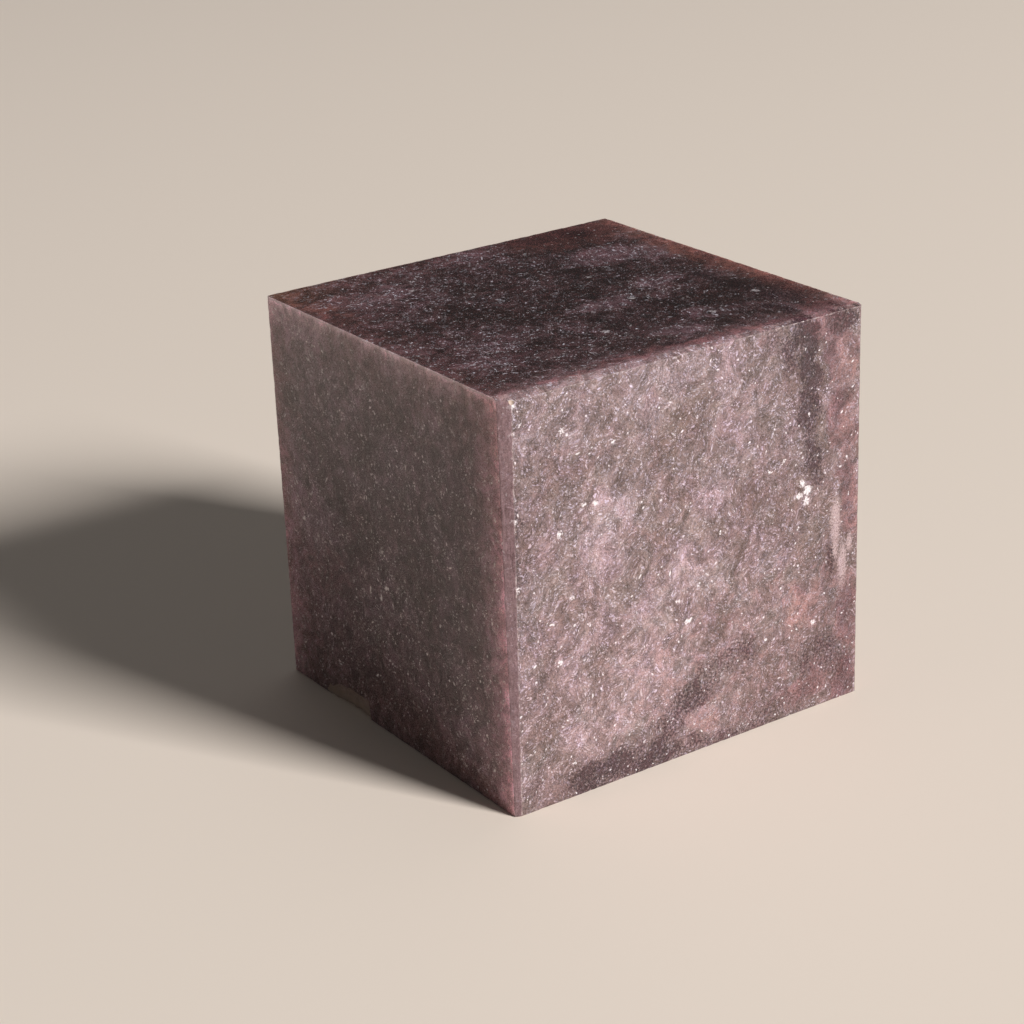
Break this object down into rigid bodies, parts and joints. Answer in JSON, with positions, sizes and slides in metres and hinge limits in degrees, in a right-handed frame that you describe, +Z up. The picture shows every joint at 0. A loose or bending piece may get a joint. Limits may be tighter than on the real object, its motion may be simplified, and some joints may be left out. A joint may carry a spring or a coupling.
{
  "type": "lepidolite cube",
  "caption": "Polished solid stone cube of lilac lepidolite mica with uneven hand-eased edges and a chipped foot, for use as an ornament or paperweight.",
  "frame": {"origin": "centre of the base, on the surface that the cube stands on", "axes": "+Z up. -Y is the broad front face and -X is the left face, with the leading edge between them. X is the width, 61.2 mm, and Y the depth, 59.3 mm."},
  "size_m": [0.0612, 0.0594, 0.06],
  "materials": {
    "lepidolite": "satin"
  },
  "bodies": {
    "root": {"stone_cube": "lepidolite"}
  },
  "joints": []
}
